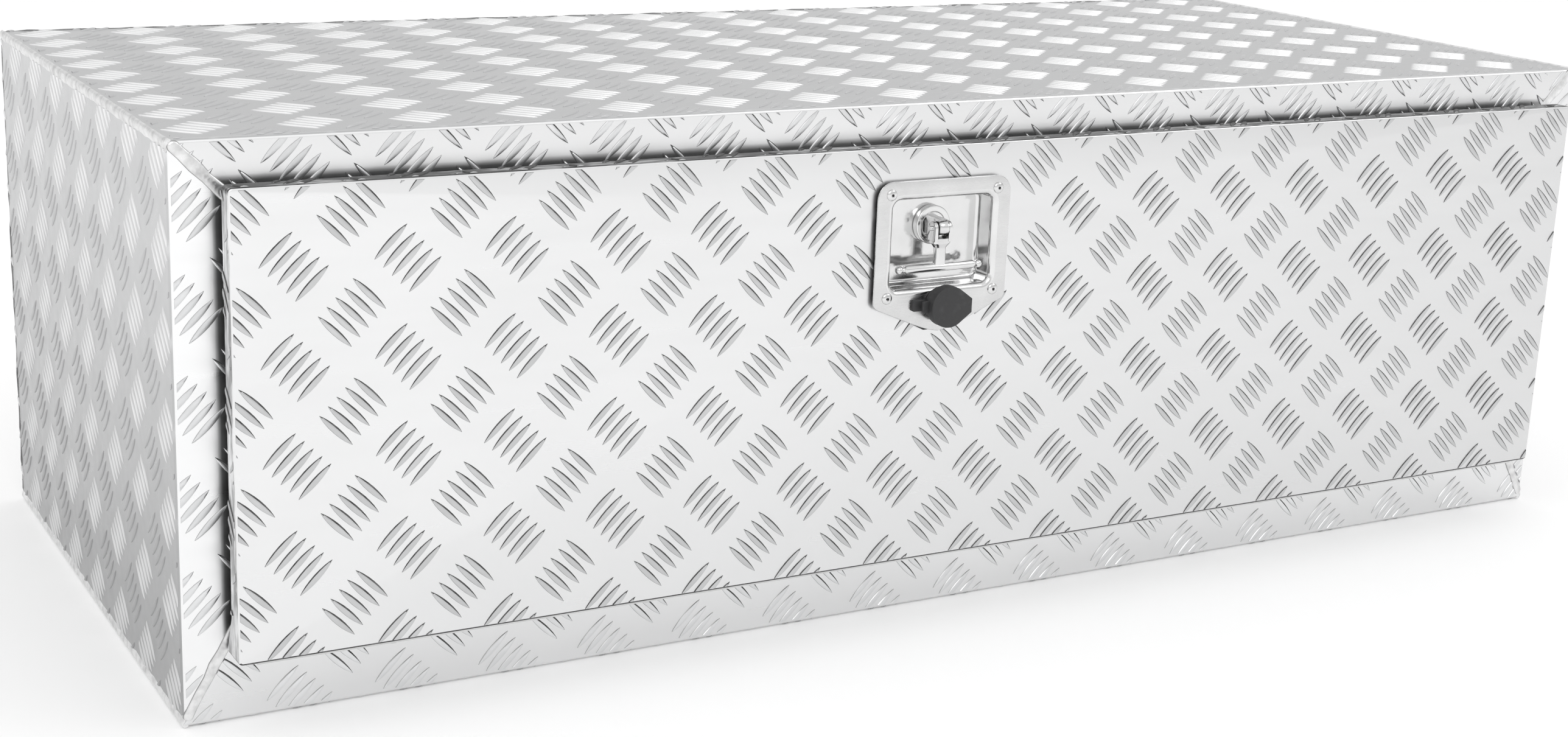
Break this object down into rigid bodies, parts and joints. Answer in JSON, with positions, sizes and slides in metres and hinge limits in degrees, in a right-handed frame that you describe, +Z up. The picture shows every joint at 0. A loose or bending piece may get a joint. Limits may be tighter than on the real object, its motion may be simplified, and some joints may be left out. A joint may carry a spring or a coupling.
{
  "type": "truck tool box",
  "caption": "Underbody truck tool box in tread-plate aluminium with a drop-down door, slotted stays and a recessed folding T-handle latch.",
  "frame": {"origin": "middle of the bottom face of the case, in the plane the box stands on", "axes": "+X along the box, +Y from the door to the back, +Z up"},
  "size_m": [1.2192, 0.5547, 0.394],
  "materials": {
    "tread_aluminium": "bright five-bar tread plate",
    "plain_aluminium": "mill",
    "stainless": "satin to polished stainless",
    "zinc_steel": "zinc plated",
    "rubber": "matt black rubber"
  },
  "bodies": {
    "case": {"back_panel": "tread_aluminium", "bottom_panel": "tread_aluminium", "case_rivet_1": "plain_aluminium", "case_rivet_2": "plain_aluminium", "case_rivet_3": "plain_aluminium", "case_rivet_4": "plain_aluminium", "case_rivet_5": "plain_aluminium", "case_rivet_6": "plain_aluminium", "door_seal": "rubber", "hinge_case_leaf": "stainless", "hinge_pin": "stainless", "left_panel": "tread_aluminium", "right_panel": "tread_aluminium", "stay_bracket_left": "zinc_steel", "stay_bracket_right": "zinc_steel", "stay_stud_left": "zinc_steel", "stay_stud_right": "zinc_steel", "top_panel": "tread_aluminium"},
    "door": {"cover_ring": "rubber", "door_pan": "tread_aluminium", "door_rivet_1": "plain_aluminium", "door_rivet_2": "plain_aluminium", "door_rivet_3": "plain_aluminium", "door_rivet_4": "plain_aluminium", "door_rivet_5": "plain_aluminium", "door_rivet_6": "plain_aluminium", "door_stiffener_left": "plain_aluminium", "door_stiffener_right": "plain_aluminium", "hinge_door_leaf": "stainless", "latch_dish": "stainless", "latch_gasket": "rubber", "latch_rivet_1": "stainless", "latch_rivet_2": "stainless", "latch_rivet_3": "stainless", "latch_rivet_4": "stainless", "lock_barrel": "stainless", "lock_nut": "stainless", "spindle_bush": "stainless", "stay_clip_left": "zinc_steel", "stay_clip_right": "zinc_steel", "stay_pin_left": "zinc_steel", "stay_pin_right": "zinc_steel"},
    "stay_left": {"stay_left": "zinc_steel"},
    "stay_right": {"stay_right": "zinc_steel"},
    "spindle": {"spindle": "stainless", "handle_pin": "stainless", "latch_arm": "zinc_steel", "arm_washer": "zinc_steel", "arm_nut": "zinc_steel"},
    "t_handle": {"t_handle": "stainless"},
    "lock_plug": {"lock_plug": "stainless", "lock_cam": "zinc_steel"},
    "lock_cover": {"lock_cover": "rubber"}
  },
  "joints": [
    {"name": "door_open", "type": "hinge", "parent": "case", "child": "door", "pos_m": [0, -0.25845, 0.04455], "axis": [1, 0, 0], "range_deg": [0, 90]},
    {"name": "stay_left_turn", "type": "hinge", "parent": "door", "child": "stay_left", "pos_m": [-0.5515, -0.262, 0.19451], "axis": [1, 0, 0], "range_deg": [-45, 0]},
    {"name": "stay_right_turn", "type": "hinge", "parent": "door", "child": "stay_right", "pos_m": [0.5515, -0.262, 0.19451], "axis": [1, 0, 0], "range_deg": [-45, 0]},
    {"name": "latch_turn", "type": "hinge", "parent": "door", "child": "spindle", "pos_m": [-0.055, -0.266, 0.3048], "axis": [0, 1, 0], "range_deg": [0, 45]},
    {"name": "handle_fold", "type": "hinge", "parent": "spindle", "child": "t_handle", "pos_m": [-0.055, -0.2815, 0.3048], "axis": [-1, 0, 0], "range_deg": [0, 90]},
    {"name": "lock_turn", "type": "hinge", "parent": "door", "child": "lock_plug", "pos_m": [-0.055, -0.266, 0.2492], "axis": [0, 1, 0], "range_deg": [0, 90]},
    {"name": "cover_flip", "type": "hinge", "parent": "door", "child": "lock_cover", "pos_m": [-0.075, -0.292, 0.2508], "axis": [0, 0, -1], "range_deg": [0, 120]}
  ],
  "couplings": [
    {"joint": "stay_left_turn", "follows": "door_open", "ratio": -0.5},
    {"joint": "stay_right_turn", "follows": "door_open", "ratio": -0.5},
    {"joint": "handle_fold", "follows": "latch_turn", "ratio": 2}
  ]
}
